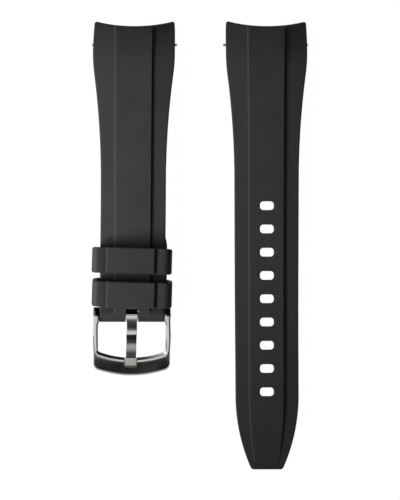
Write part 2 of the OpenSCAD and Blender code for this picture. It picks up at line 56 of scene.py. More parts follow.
def newObject(name, data):
    thing = bpy.data.objects.new(name, data)
    scene.collection.objects.link(thing)
    return thing


# Camera

cameraUser = {
    "centre": (0.00004, -0.00115),    # point under the middle of the picture
    "spanY": 0.12195,                 # height of the picture at the strap
    "level": 0.003,                   # height at which that span holds
    "distance": 3.0,
    "sensor": 36,
}


def addCamera(user):
    # straight down, with the lug ends at the top of the picture
    data = bpy.data.cameras.new("overhead")
    data.sensor_width = user["sensor"]
    data.lens = user["sensor"] * user["distance"] / user["spanY"]
    data.clip_start, data.clip_end = 0.01, 10
    camera = newObject("overhead", data)
    camera.location = (*user["centre"], user["level"] + user["distance"])
    scene.camera = camera


addCamera(cameraUser)
print("camera placed")


# Materials


def newMaterial(name):
    material = bpy.data.materials.new(name)
    material.use_nodes = True
    tree = material.node_tree
    return material, tree, tree.nodes["Principled BSDF"]


def addNode(tree, kind, **settings):
    node = tree.nodes.new(kind)
    for key, value in settings.items():
        setattr(node, key, value)
    return node


def calculate(tree, operation, *values):
    # a Math node: each value is a number or the output of another node
    node = addNode(tree, "ShaderNodeMath", operation=operation)
    for socket, value in zip(node.inputs, values):
        if isinstance(value, bpy.types.NodeSocket):
            tree.links.new(value, socket)
        else:
            socket.default_value = value
    return node.outputs[0]


def stretched(tree, vector, stretch):
    mapping = addNode(tree, "ShaderNodeMapping")
    mapping.inputs["Scale"].default_value = stretch
    tree.links.new(vector, mapping.inputs["Vector"])
    return mapping.outputs["Vector"]


def objectPoint(tree, stretch=(1, 1, 1)):
    # the piece's own coordinates in metres, stretched along its axes
    source = addNode(tree, "ShaderNodeTexCoord")
    return stretched(tree, source.outputs["Object"], stretch)


def readBrushAndPaintedShade(tree):
    # the piece's own attribute: distances along and across it, and the painted shade on its walls, eyes and
    # ends
    return addNode(tree, "ShaderNodeAttribute", attribute_name="brushAndPaintedShade").outputs["Vector"]


def noise(tree, point, scale, detail, rough):
    node = addNode(tree, "ShaderNodeTexNoise")
    node.inputs["Scale"].default_value = scale
    node.inputs["Detail"].default_value = detail
    node.inputs["Roughness"].default_value = rough
    tree.links.new(point, node.inputs["Vector"])
    return node.outputs["Fac"]


def ramp(tree, value, low, high, start=0.3, end=0.7):
    # value between start and end is spread from low to high
    node = addNode(tree, "ShaderNodeMapRange")
    node.inputs["From Min"].default_value = start
    node.inputs["From Max"].default_value = end
    node.inputs["To Min"].default_value = low
    node.inputs["To Max"].default_value = high
    tree.links.new(value, node.inputs["Value"])
    return node.outputs["Result"]


def mixColour(tree, factor, first, second):
    node = addNode(tree, "ShaderNodeMix", data_type="RGBA")
    ends = {"A": (*first, 1), "B": (*second, 1)}
    for socket in node.inputs:
        if socket.type == "RGBA":
            socket.default_value = ends[socket.name]
    tree.links.new(factor, node.inputs["Factor"])
    return [socket for socket in node.outputs if socket.type == "RGBA"][0]


def bump(tree, height, distance, strength):
    node = addNode(tree, "ShaderNodeBump")
    node.inputs["Distance"].default_value = distance
    node.inputs["Strength"].default_value = strength
    tree.links.new(height, node.inputs["Height"])
    return node.outputs["Normal"]


rubberUser = {
    "dark": (0.027, 0.027, 0.028),
    "light": (0.043, 0.043, 0.043),
    "grain": (3000, 2, 0.6),      # to the metre, levels of detail, roughness of the detail
    "cloud": (130, 4, 0.55),
    "grainShare": 1.7,            # how far the grain and the clouds take the colour from dark to light
    "cloudShare": (-0.62, -0.07),
    "roughness": (0.56, 0.70),
    "gloss": 0.25,
    "bumpH": 0.00002,
    "bumpShare": 0.35,
}

keeperRubberUser = dict(
    rubberUser,
    dark=(0.0235, 0.0235, 0.0245),
    light=(0.038, 0.038, 0.038),
    cloud=(170, 4, 0.55),
)


def rubberMaterial(name, user):
    # moulded rubber: fine grain, soft clouding of the colour, matt with a faint gloss
    material, tree, shader = newMaterial(name)
    point = objectPoint(tree)
    grain = noise(tree, point, *user["grain"])
    cloud = noise(tree, point, *user["cloud"])
    tone = calculate(tree, "MULTIPLY_ADD", grain, user["grainShare"], ramp(tree, cloud, *user["cloudShare"]))
    tree.links.new(mixColour(tree, tone, user["dark"], user["light"]), shader.inputs["Base Color"])
    tree.links.new(ramp(tree, cloud, *user["roughness"]), shader.inputs["Roughness"])
    shader.inputs["Specular IOR Level"].default_value = user["gloss"]
    tree.links.new(bump(tree, grain, user["bumpH"], user["bumpShare"]), shader.inputs["Normal"])
    return material


steelUser = {
    "dark": (0.40, 0.39, 0.37),
    "light": (0.62, 0.61, 0.59),
    "lines": (9000, 3, 0.7),      # hair lines to the metre, then as above
    "stretch": (0.03, 1, 0),      # of the lines that run along a piece
    "cloud": (260, 3, 0.5),
    "roughness": (0.15, 0.25),
    "bumpH": 0.000002,
    "bumpShare": 0.3,
    "paintedShadeTone": 0.1,              # share of the colour that is left under the fullest painted shade
    "paintedShadeFull": 0.001,            # brush value at which the painted shade is fullest
}

tongueSteelUser = dict(steelUser, roughness=(0.12, 0.18))

barSteelUser = dict(steelUser, roughness=(0.22, 0.34), stretch=(0.02, 1, 1))

springSteelUser = dict(
    steelUser,
    dark=(0.3, 0.3, 0.29),
    light=(0.45, 0.44, 0.43),
    stretch=(0.02, 1, 1),
)


def applyPaintedShade(tree, colour, user):
    # the third brush value is painted shade: it darkens the colour on walls, eyes and ends
    parts = addNode(tree, "ShaderNodeSeparateXYZ")
    tree.links.new(readBrushAndPaintedShade(tree), parts.inputs[0])
    scaled = addNode(tree, "ShaderNodeVectorMath", operation="SCALE")
    tree.links.new(colour, scaled.inputs[0])
    tone = ramp(tree, parts.outputs["Z"], 1.0, user["paintedShadeTone"], 0, user["paintedShadeFull"])
    tree.links.new(tone, scaled.inputs["Scale"])
    return scaled.outputs[0]


def steelMaterial(name, user, brushedAndShaded=True):
    # hair lines along the brush values, darkened by their painted shade, or along X on a piece that has none
    material, tree, shader = newMaterial(name)
    shader.inputs["Metallic"].default_value = 1
    if brushedAndShaded:
        point = stretched(tree, readBrushAndPaintedShade(tree), user["stretch"])
    else:
        point = objectPoint(tree, user["stretch"])
    lines = noise(tree, point, *user["lines"])
    cloud = noise(tree, objectPoint(tree), *user["cloud"])
    colour = mixColour(tree, ramp(tree, lines, 0, 1), user["dark"], user["light"])
    if brushedAndShaded:
        # painted shade from the third brush value darkens the colour
        colour = applyPaintedShade(tree, colour, user)
    tree.links.new(colour, shader.inputs["Base Color"])
    tree.links.new(ramp(tree, cloud, *user["roughness"]), shader.inputs["Roughness"])
    tree.links.new(bump(tree, lines, user["bumpH"], user["bumpShare"]), shader.inputs["Normal"])
    return material


strapRubber = rubberMaterial("strapRubber", rubberUser)
keeperRubber = rubberMaterial("keeperRubber", keeperRubberUser)
frameSteel = steelMaterial("frameSteel", steelUser)
tongueSteel = steelMaterial("tongueSteel", tongueSteelUser)
barSteel = steelMaterial("barSteel", barSteelUser, brushedAndShaded=False)
springSteel = steelMaterial("springSteel", springSteelUser, brushedAndShaded=False)
print("materials made")


# Surfaces worked out from formulas. Lengths are in mm until a mesh is made


def middleOf(nodeName, axis):
    low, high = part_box(nodeName)
    return (low[axis] + high[axis]) / 2 * 1000


places = {
    "leftX": middleOf("buckle_strap", 0),
    "pinY": middleOf("buckle_bar_tube", 1),
    "pinZ": middleOf("buckle_bar_tube", 2),
    "rightX": middleOf("tail_strap", 0),
}

barPlace = np.array([places["leftX"], places["pinY"], places["pinZ"]])

shadingUser = {
    "sharpFrom": 42,    # degrees between two faces
    "faceWeight": 80,
}


def smoothStep(value):
    # 0 below 0, 1 above 1, and a smooth S between
    value = np.clip(value, 0, 1)
    return value * value * (3 - 2 * value)


def easeUp(value, start, length):
    # the same S, from 0 at start to 1 a length further
    return smoothStep((value - start) / length)


def easeOver(value, start, stop):
    # up after the first place and down again after the second, each a place and a length
    return easeUp(value, *start) * (1 - easeUp(value, *stop))


def arcHeight(radius, away):
    # height of a circle at a distance from its middle, 0 outside it
    return np.sqrt(np.maximum(radius * radius - away * away, 0))


def roundTurn(count):
    # pairs 1 - cos a and 1 - sin a for a quarter turn
    angle = np.linspace(0, math.pi / 2, count)
    return 1 - np.cos(angle), 1 - np.sin(angle)


def mirrored(parts):
    # the left half's values, then the same ones from the middle to the right
    columns = np.concatenate(parts)
    return np.concatenate([columns, columns[-2::-1]])


def closedRings(x, y, upper, lower):
    # the top from left to right, then the underside from right to left
    top = np.stack([x, y, upper], -1)
    bottom = np.stack([x, y, lower], -1)[:, ::-1]
    return np.concatenate([top, bottom], 1)


def meshFrom(name, points, faces, brushAndPaintedShade=None):
    # points in mm. Doubles are merged, and the form is turned round if it is inside out
    mesh = bpy.data.meshes.new(name)
    mesh.from_pydata((points.reshape(-1, 3) / 1000).tolist(), [], faces)
    # the brush values go on as an attribute; their third number is painted shade
    if brushAndPaintedShade is not None:
        layer = mesh.attributes.new("brushAndPaintedShade", "FLOAT_VECTOR", "POINT")
        layer.data.foreach_set("vector", (brushAndPaintedShade / 1000).ravel())
    work = bmesh.new()
    work.from_mesh(mesh)
    bmesh.ops.remove_doubles(work, verts=work.verts, dist=1e-7)
    bmesh.ops.dissolve_degenerate(work, edges=work.edges, dist=1e-8)
    if work.calc_volume(signed=True) < 0:
        bmesh.ops.reverse_faces(work, faces=work.faces)
    work.to_mesh(mesh)
    work.free()
    return mesh


def gridWalls(count, around):
    # point numbers of rings of points, and the quads that join each ring to the next
    index = np.arange(count * around).reshape(count, around)
    here, there = index[:-1], index[1:]
    walls = np.stack([here, np.roll(here, -1, 1), np.roll(there, -1, 1), there], -1)
    return index, walls.reshape(-1, 4)


def loftMesh(name, rings, brushAndPaintedShade=None):
    # rings of points, stations x around x 3. Each end is closed by quads between a point of the
    # ring and the one on its other half. The brush values hold, for each point, two distances for the hair
    # lines and the painted shade
    count, around = rings.shape[:2]
    index, walls = gridWalls(count, around)
    half = np.arange(around // 2 - 1)
    ladder = np.stack([half, half + 1, around - 2 - half, around - 1 - half], -1)
    faces = np.concatenate([walls, ladder[:, ::-1], ladder + index[-1, 0]])
    return meshFrom(name, rings, faces.tolist(), brushAndPaintedShade)


def stackMesh(name, levels):
    # levels of points, each a closed outline: quads between them and a flat face on both ends
    index, walls = gridWalls(*levels.shape[:2])
    faces = walls.tolist() + [index[0, ::-1].tolist(), index[-1].tolist()]
    return meshFrom(name, levels, faces)


def roundOutline(width, length, radius, steps=7):
    # outline of a rectangle with round corners about its own middle, going round once
    turn = np.linspace(0, math.pi / 2, steps)
    quarter = np.arange(4)[:, None] * math.pi / 2
    angle = (quarter + turn).ravel()
    signX = np.repeat([1, -1, -1, 1], steps)
    signY = np.repeat([1, 1, -1, -1], steps)
    x = signX * (width / 2 - radius) + radius * np.cos(angle)
    y = signY * (length / 2 - radius) + radius * np.sin(angle)
    return x, y


def crossBore(name, middle, radius, length, steps=64):
    # a rod along X: the same circle at both its ends
    angle = np.linspace(0, 2 * math.pi, steps, endpoint=False)
    circle = np.stack([0 * angle, radius * np.cos(angle), radius * np.sin(angle)], -1)
    ends = np.array([[-length / 2, 0, 0], [length / 2, 0, 0]])[:, None, :]
    return stackMesh(name, circle[None] + ends + np.array(middle))


def uprightCut(name, x, y, floor, roof):
    # an upright form: the outline x, y on its floor and on its roof
    outline = [np.stack([x, y, level + 0 * x], -1) for level in (floor, roof)]
    return stackMesh(name, np.array(outline))


def cutAway(mesh, cutters):
    # takes the cutters' closed forms out of the mesh
    piece = newObject("blank", mesh)
    tools = []
    for cutter in cutters:
        tool = newObject("cutter", cutter)
        tools.append(tool)
        step = piece.modifiers.new("cut", "BOOLEAN")
        step.operation = "DIFFERENCE"
        step.solver = "EXACT"
        step.object = tool
    graph = bpy.context.evaluated_depsgraph_get()
    result = bpy.data.meshes.new_from_object(piece.evaluated_get(graph))
    for extra in tools + [piece]:
        bpy.data.objects.remove(extra)
    return result


def placePiece(name, mesh, material, body, standsFor):
    # finished mesh as a piece of the object: smooth, with its cut edges sharp
    mesh.name = name
    mesh.materials.clear()
    mesh.materials.append(material)
    mesh.shade_smooth()
    mesh.set_sharp_from_angle(angle=math.radians(shadingUser["sharpFrom"]))
    piece = newObject(name, mesh)
    even = piece.modifiers.new("even", "WEIGHTED_NORMAL")
    even.mode = "FACE_AREA"
    even.weight = shadingUser["faceWeight"]
    even.keep_sharp = True
    if body:
        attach(piece, body)
    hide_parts(standsFor)
    return piece


# The two rubber halves. t is the distance from the hollow end along the strap

strapUser = {
    "lugW": 19.86,
    "lugH": 5.2,
    "caseR": 39.0,           # the watch case that the hollow end fits
    "hollowL": 16.0,         # the hollow's curve dies out over this length
    "widestT": 6.5,
    "earR": 90.0,
    "shoulderR": 40.0,
    "flankR": 200.0,
    "crestT": 9.0,
    "crestR": 22.0,
    "heelT": 6.8,
    "heelR": 9.0,
    "lugBarT": 4.6,
    "lugBarZ": 2.2,
    "boreR": 0.8,
    "runW": 15.74,
    "strapT": 2.6,
    "bandH": 0.55,
    "bandLugW": 9.2,
    "wallW": 0.46,           # a wall of the band seen from above, with its roundings
    "edgeR": 0.28,           # rounding along the sides
    "endR": 0.6,             # rounding at the hollow end
    "endSkew": 0.0035,       # the ends are a little oblique
    "earFull": 0.28,         # the ear on the right is fuller, over earFullL
    "earFullL": 7.0,
    "droopEnd": 0.14,        # outward fall of the side faces: at the hollow end, and along the run
    "droopRun": 0.02,
    "droopL": 9.0,
    "droopStopL": 8.0,
    "fineT": 14.0,           # the cross-sections are close together up to here
    "fineStep": 0.45,
    "runStep": 0.8,
}

buckleHalfUser = dict(
    strapUser,
    bandRunW=8.66,
    bandFadeL=38.0,
    bendT=57.0,
    bendR=75.0,
    pinT=70.55,
    barrelMore=0.03,         # the round end is this much fuller than the strap
    riseBefore=2.0,          # before the pin the side faces rise to the round end
    riseL=1.85,
    closeL=4.0,
    closeStep=0.12,
    droopStop=68.0,
    wider=0.08,              # more width on either side than the plan has
    widerStart=(0, 8.0),     # a start or a stop is a place, and the length that it takes
    widerStop=(62.0, 4.0),
    fingerW=0.15,            # the fingers stand out on the left
    fingerStart=(66.5, 1.5),
    bulgeW=0.42,             # the right side stands out between the keepers
    bulgeStart=(51.2, 2.4),
    bulgeStop=(65.5, 2.5),
    skew=0.004,              # the lug end leans to the right, up to skewT
    skewT=50.0,
    lean=-0.2,               # and the buckle end to the left
    leanStart=(42.0, 26.0),
    slotW=3.1,
    slotL=1.62,
    slotR=0.6,
    slotShift=-0.14,
)

tailHalfUser = dict(
    strapUser,
    tailL=108.15,
    tailW=15.36,
    tailT=2.4,
    joinL=0.1,
    tipT=2.0,
    tipL=18.15,
    tipR=44.0,
    tipCornerR=0.9,
    tipRimR=0.35,
    tipStep=0.4,
    tailBandW=8.48,
    bandFadeL=28.0,
    bandTipR=108.0,
    fadeStart=2.0,           # past the tip's start the band sinks into the side faces
    fadeMiddle=0.62,
    fadeL=1.6,
    tipGrow=0.08,            # the right side stands out towards the tip
    growStart=(72.0, 22.0),
    tipLean=0.1,
    leanStart=(60.0, 35.0),
    shift=-0.08,
    droopStop=108.0,
    holeN=9,
    holeT=43.8,
    holePitch=5.675,
    holeW=3.35,
    holeL=2.1,
    holeR=0.8,
    rimR=0.12,
    rimRise=0.012,
)


def flankEndT(user):
    # where the flank's arc ends in the straight run
    bothR = user["shoulderR"] + user["flankR"]
    side = bothR - (user["lugW"] - user["runW"]) / 2
    return user["widestT"] + math.sqrt(bothR ** 2 - side ** 2)


def lugHalf(t, user):
    # half width: ear arc to the widest place, then shoulder and flank arcs that touch, then straight
    widestT, shoulderR = user["widestT"], user["shoulderR"]
    flankEnd = flankEndT(user)
    shoulderEnd = widestT + (flankEnd - widestT) * shoulderR / (shoulderR + user["flankR"])
    ear = user["lugW"] / 2 - user["earR"] + arcHeight(user["earR"], widestT - t)
    shoulder = user["lugW"] / 2 - shoulderR + arcHeight(shoulderR, t - widestT)
    flank = user["runW"] / 2 + user["flankR"] - arcHeight(user["flankR"], flankEnd - t)
    run = np.full_like(t, user["runW"] / 2)
    return np.select([t < widestT, t < shoulderEnd, t < flankEnd], [ear, shoulder, flank], run)


def crestTop(t, user, more=0.0):
    # top: the crest's arc up to its highest line, then level
    arc = user["lugH"] - user["crestR"] + arcHeight(user["crestR"] + more, t - user["crestT"])
    return np.where(t < user["crestT"], arc, user["lugH"] + more)


def heelEndT(user, level):
    # where the heel's arc reaches the level of the run's underside
    below = user["heelR"] - level
    return user["heelT"] + math.sqrt(user["heelR"] ** 2 - below ** 2)


def heelUnder(t, user, level):
    # underside: 0 under the lug end, then the heel's arc up to the level of the run
    heelEnd = heelEndT(user, level)
    rising = level - user["heelR"] + arcHeight(user["heelR"], heelEnd - t)
    return np.clip(np.where(t < heelEnd, rising, level), 0, level) * (t > user["heelT"])


def bandSection(left, right, turnSteps, across, wallW):
    # columns across a strap or a keeper: turn of the side, side face, wall of the band, top of the
    # band, and the same on the right. left and right hold the half width, the half width at the
    # wall's foot and the turn's radius. The wall is a ramp with soft ends: the difference of two
    # hyperbolas. Gives x, and for each column how far inwards it is on the side face, its share of
    # the band's height and its share of the turn's fall
    out, down = roundTurn(turnSteps)
    wall = np.linspace(0, 1, 11)
    soft, start = 0.07, 0.24
    climb = np.hypot(wall - start, soft) - np.hypot(wall - 1 + start, soft)
    climb = (climb - climb[0]) / (climb[-1] - climb[0])
    top = np.array([0.04, 0.3, 0.65, 1.0])

    def halfColumns(side, foot, turnR):
        turn = turnR * out - side
        face = turnR - side + (side - turnR - foot) * across
        walls = wallW * wall - foot
        crown = (wallW - foot) * (1 - top)
        return np.concatenate([turn, face, walls, crown], 1)

    x = np.concatenate([halfColumns(*left), -halfColumns(*right)[:, -2::-1]], 1)
    shares = {
        "inwards": mirrored([0 * out, across, 0 * wall + 1, 0 * top + 1]),
        "raised": mirrored([0 * out, 0 * across, climb, 0 * top + 1]),
        "fallen": mirrored([down, 0 * across, 0 * wall, 0 * top]),
    }
    return x, shares


def strapSection(left, right, foot, user):
    # the same section with a strap's turn and four places across each side face
    across = np.array([0.06, 0.35, 0.68, 0.96])
    edge = user["edgeR"]
    return bandSection((left, foot, edge), (right, foot, edge), 6, across, user["wallW"])


def sectionHeights(x, t, foot, shares, levels, user):
    # the side face's height, falling away outwards from the band's foot, raised to the band's by
    # the wall's ramp, with the turn along the edges taken off above and below
    side, band, under = levels
    turnR = np.minimum(user["edgeR"], 0.48 * np.maximum(side - under, 0))
    droop = user["droopRun"] + user["droopEnd"] * np.exp(-np.maximum(t, 0) / user["droopL"])
    droop = droop * (1 - easeUp(t, user["droopStop"] - user["droopStopL"], user["droopStopL"]))
    side = side - droop * np.maximum(np.abs(x) - foot, 0)
    turn = turnR * shares["fallen"]
    return side + (band - side) * shares["raised"] - turn, under + turn


def hollowBend(station, x, user):
    # the end follows the case's arc, and its curve dies out further along the strap
    arc = arcHeight(user["caseR"], x) - user["caseR"] + user["endSkew"] * x
    fade = np.clip(1 - station / user["hollowL"], 0, 1) ** 2
    return station + arc * fade


def lugStations(user):
    # the rounding of the hollow end, with its inset, then close steps
    out, down = roundTurn(7)
    close = np.arange(1.5 * user["endR"], user["fineT"], user["fineStep"])
    return np.concatenate([user["endR"] * out, close]), user["endR"] * down


def bandWidth(station, runW, user):
    # half width of the band: wide at the lug end, and narrower along the run
    return runW / 2 + (user["bandLugW"] - runW) / 2 * np.exp(-station / user["bandFadeL"])


def lugCut(placeX, zeroY, user):
    middle = (placeX, zeroY - user["lugBarT"], user["lugBarZ"])
    return crossBore("lugCut", middle, user["boreR"], user["lugW"] + 4)


def buckleHalf(user):
    # seen from the side: the crest's arc, level, then the bend's arc down to a circle about the pin
    pinT, pinZ = user["pinT"], places["pinZ"]
    zeroY = places["pinY"] + pinT
    bendZ = user["lugH"] - user["bendR"]
    barrelR = (user["strapT"] + user["bandH"]) / 2 + user["barrelMore"]
    lug, rim = lugStations(user)
    closeT = pinT - user["closeL"]
    station = np.concatenate([
        lug,
        np.arange(user["fineT"], closeT, user["runStep"]),
        np.arange(closeT, pinT, user["closeStep"]),
        pinT + barrelR * np.sin(np.linspace(0, math.pi / 2, 22)),
    ])
    station = station[:, None]
    inset = 0 * station
    inset[:len(rim), 0] = rim

    def heights(t):
        bend = t > user["bendT"]
        below = t - user["bendT"]
        bandR = user["bendR"] + user["bandH"]
        side = np.where(bend, bendZ + arcHeight(user["bendR"], below), crestTop(t, user))
        band = np.where(bend, bendZ + arcHeight(bandR, below), crestTop(t, user, user["bandH"]))
        flat = heelUnder(t, user, user["lugH"] - user["strapT"])
        under = np.where(bend, bendZ + arcHeight(user["bendR"] - user["strapT"], below), flat)
        barrel = arcHeight(barrelR, t - pinT)
        near = np.abs(t - pinT) < barrelR
        band = np.where(near, np.maximum(band, pinZ + barrel), band)
        under = np.where(near, np.minimum(under, pinZ - barrel), under)
        band = np.where(t > pinT, pinZ + barrel, band)
        under = np.where(t > pinT, pinZ - barrel, under)
        # the side faces rise softly to the round end
        side = side + (band - side) * easeUp(t, pinT - user["riseBefore"], user["riseL"])
        return side - inset, band - inset, under + inset

    half = lugHalf(station, user)
    wider = user["wider"] * easeOver(station, user["widerStart"], user["widerStop"])
    finger = user["fingerW"] * easeUp(station, *user["fingerStart"])
    bulge = user["bulgeW"] * easeOver(station, user["bulgeStart"], user["bulgeStop"])
    fuller = user["earFull"] * (1 - easeUp(station, 0, user["earFullL"]))
    foot = bandWidth(station, user["bandRunW"], user) + user["wallW"] / 2
    left = half + finger + wider - inset
    right = half + bulge + fuller + wider - inset
    x, shares = strapSection(left, right, foot, user)
    t = hollowBend(station, x, user)
    x = x * (lugHalf(t, user) - inset) / (half - inset)
    upper, lower = sectionHeights(x, t, foot, shares, heights(t), user)
    x = x + user["skew"] * np.maximum(user["skewT"] - t, 0) + user["lean"] * easeUp(t, *user["leanStart"])
    mesh = loftMesh("buckleHalf", closedRings(places["leftX"] + x, zeroY - t, upper, lower))

    # slot for the tongue, open at the end, and the two bores
    slotX, slotT = roundOutline(user["slotW"], 4 * user["slotL"], user["slotR"])
    slotX = places["leftX"] + user["lean"] + user["slotShift"] + slotX
    return cutAway(mesh, [
        uprightCut("slotCut", slotX, places["pinY"] - user["slotL"] - slotT, -1, 8),
        crossBore("pinCut", barPlace, user["boreR"], user["lugW"] + 4),
        lugCut(places["leftX"], zeroY, user),
    ])


def tailHalf(user):
    # seen from the side: the crest's arc, then a straight slope that gets thinner to the tip
    tailL, tipL = user["tailL"], user["tipL"]
    tipStart = tailL - tipL
    zeroY = places["pinY"] + buckleHalfUser["pinT"]
    # the slope touches the crest's arc
    crestT, crestR = user["crestT"], user["crestR"]
    reach = (tailL - crestT, user["tipT"] - user["lugH"] + crestR)
    slope = math.atan2(reach[1], reach[0]) + math.acos(crestR / math.hypot(*reach))
    touchT = crestT + crestR * math.cos(slope)
    touchZ = user["lugH"] - crestR + crestR * math.sin(slope)
    fall = (touchZ - user["tipT"]) / (tailL - touchT)
    # plan of the tip: a long arc, then a corner circle that touches it
    cornerR, tipR = user["tipCornerR"], user["tipR"]
    cornerT = tailL - cornerR
    cornerX = user["tailW"] / 2 - tipR + math.sqrt((tipR - cornerR) ** 2 - (tipL - cornerR) ** 2)
    cornerTouch = tipStart + (tipL - cornerR) * tipR / (tipR - cornerR)
    lug, rim = lugStations(user)
    angle = np.linspace(math.asin((cornerTouch - cornerT) / cornerR), math.pi / 2, 16)
    station = np.concatenate([
        lug,
        np.arange(user["fineT"], tipStart, user["runStep"]),
        np.arange(tipStart, cornerTouch - 0.1, user["tipStep"]),
        cornerT + cornerR * np.sin(angle),
    ])
    station = station[:, None]
    rimR = user["tipRimR"]
    inset = rimR - arcHeight(rimR, np.maximum(rimR - (tailL - station), 0))
    inset[:len(rim), 0] = rim
    planIn = np.where(station < user["endR"] * 2, inset, 0)

    def plan(t):
        flankEnd = flankEndT(user)
        share = (t - flankEnd) / (tipStart - flankEnd)
        straight = user["runW"] / 2 + (user["tailW"] - user["runW"]) / 2 * share
        arc = user["tailW"] / 2 - tipR + arcHeight(tipR, t - tipStart)
        corner = cornerX + arcHeight(cornerR, t - cornerT)
        stretches = [t < flankEnd, t < tipStart, t < cornerTouch]
        return np.select(stretches, [lugHalf(t, user), straight, arc], corner)

    def bandShare(t):
        # the band's height dies out towards the tip
        middle = user["fadeMiddle"]
        knots = [tipStart + user["fadeStart"], tipStart + tipL * middle, tailL - user["fadeL"]]
        return np.interp(t, knots, [1, middle, 0])

    def slopeTop(t):
        return touchZ - fall * (t - touchT)

    def heights(t):
        side = np.where(t < touchT, crestTop(t, user), slopeTop(t))
        band = np.where(t < crestT, crestTop(t, user, user["bandH"]), side + user["bandH"])
        band = side + (band - side) * bandShare(t)
        level = user["lugH"] - user["tailT"]
        join = heelEndT(user, level) + user["joinL"]
        under = np.where(t < join, heelUnder(t, user, level), level * (tailL - t) / (tailL - join))
        return side - inset, band - inset, under + inset

    half = plan(station)
    fuller = user["earFull"] * (1 - easeUp(station, 0, user["earFullL"]))
    grow = user["tipGrow"] * easeUp(station, *user["growStart"])
    narrower = user["bandTipR"] - arcHeight(user["bandTipR"], np.clip(station - tipStart, 0, tipL))
    foot = bandWidth(station, user["tailBandW"], user) - narrower + user["wallW"] / 2
    x, shares = strapSection(half + fuller - planIn, half + grow - planIn, foot, user)
    t = hollowBend(station, x, user)
    x = x * (plan(t) - planIn) / (half - planIn)
    upper, lower = sectionHeights(x, t, foot, shares, heights(t), user)
    x = x + user["shift"] + user["tipLean"] * easeUp(t, *user["leanStart"])
    mesh = loftMesh("tailHalf", closedRings(places["rightX"] + x, zeroY - t, upper, lower))

    # holes with a soft rim, each following the slope of the top
    out, down = roundTurn(5)
    spread = np.concatenate([[0], user["rimR"] * out, [user["rimR"]]])
    level = np.concatenate([[-8], user["rimRise"] - user["rimR"] * down, [2]])
    cutters = []
    for number in range(user["holeN"]):
        middle = user["holeT"] + number * user["holePitch"]
        stack = []
        for more, height in zip(spread, level):
            x, t = roundOutline(user["holeW"] + 2 * more, user["holeL"] + 2 * more, user["holeR"] + more)
            t = middle + t
            top = slopeTop(t) + user["bandH"] * bandShare(t)
            stack.append(np.stack([places["rightX"] + x, zeroY - t, top + height], -1))
        cutters.append(stackMesh("holeCut", np.array(stack)))
    cutters.append(lugCut(places["rightX"], zeroY, user))
    return cutAway(mesh, cutters)


placePiece(
    "buckleHalf", buckleHalf(buckleHalfUser), strapRubber, "buckle_half", "buckle_strap"
)
placePiece("tailHalf", tailHalf(tailHalfUser), strapRubber, "tail_half", "tail_strap")
print("rubber halves made")


# The two keepers

keeperUser = {
    "length": 6.3,
    "halfLeft": 9.8,
    "halfRight": 9.74,
    "height": 8.21,
    "wall": 1.15,
    "shift": 0.25,           # towards the left edge
    "yaw": 1.7,              # degrees that the loops are turned on the strap
    "turnLeft": 1.45,        # rounding of the upper corners, seen from the end
    "turnRight": 1.9,
    "footR": 1.7,
    "bandLeft": 6.17,        # middles of the raised band's two walls
    "bandRight": 5.56,
    "bandH": 0.55,
    "wallW": 0.42,
    "dip": 0.19,             # the side faces fall this much towards the band
    "endR": 0.22,
    "cornerR": 0.55,         # rounding of the corners, seen from above
    "boreHalf": 8.65,
    "boreBandHalf": 4.81,
    "boreH": 5.91,
    "play": 0.18,
    "levelL": 1.0,           # a loop less far than this into the bend stays level
}

keeperPlaces = {
    # the node, which is also the body, and the loop's t on the strap
    "upperKeeper": ("upper_keeper", 57.25),
    "lowerKeeper": ("lower_keeper", 65.0),
}


def keeperRings(user):
    # a section of turns, dipping side faces and a raised band, lofted along the strap. Each end
    # is drawn in by a rounding, and the corners also by their plan circle
    endOut, endDown = roundTurn(5)
    half = user["length"] / 2
    later = np.concatenate([np.linspace(0.3, user["cornerR"], 5), [1.2, 2.2]])
    fromEnd = np.concatenate([user["endR"] * endOut, later])
    inset = np.concatenate([user["endR"] * endDown, 0 * later])
    corner = user["cornerR"] - arcHeight(user["cornerR"], np.maximum(user["cornerR"] - fromEnd, 0))
    along = np.concatenate([fromEnd - half, half - fromEnd[::-1]])[:, None]
    inset = np.concatenate([inset, inset[::-1]])[:, None]
    narrower = np.concatenate([corner, corner[::-1]])[:, None] + inset

    def halfSizes(side):
        foot = user["band" + side] + user["wallW"] / 2
        return user["half" + side] - narrower, foot + 0 * narrower, user["turn" + side]

    across = np.linspace(0, 1, 7)[1:-1]
    x, shares = bandSection(halfSizes("Left"), halfSizes("Right"), 12, across, user["wallW"])
    dip = user["dip"] * shares["inwards"] ** 2
    band = (user["bandH"] + user["dip"]) * shares["raised"]
    turnR = np.where(x < 0, user["turnLeft"], user["turnRight"])
    upper = user["height"] - inset - dip + band - turnR * shares["fallen"]
    lower = inset + user["footR"] * shares["fallen"] + 0 * x
    return closedRings(x, np.broadcast_to(along, x.shape), upper, lower)


def keeperBore(user):
    # opening: the strap's section with some play, from before one end to past the other
    wide, narrow, floor = user["boreHalf"], user["boreBandHalf"], user["wall"]
    roof = floor + user["boreH"]
    crown = roof + user["bandH"]
    x = np.array([-wide, wide, wide, narrow, narrow, -narrow, -narrow, -wide])
    z = np.array([floor, floor, roof, roof, crown, crown, roof, roof])
    reach = user["length"] / 2 + 1
    return np.array([np.stack([x, end + 0 * x, z], -1) for end in (-reach, reach)])


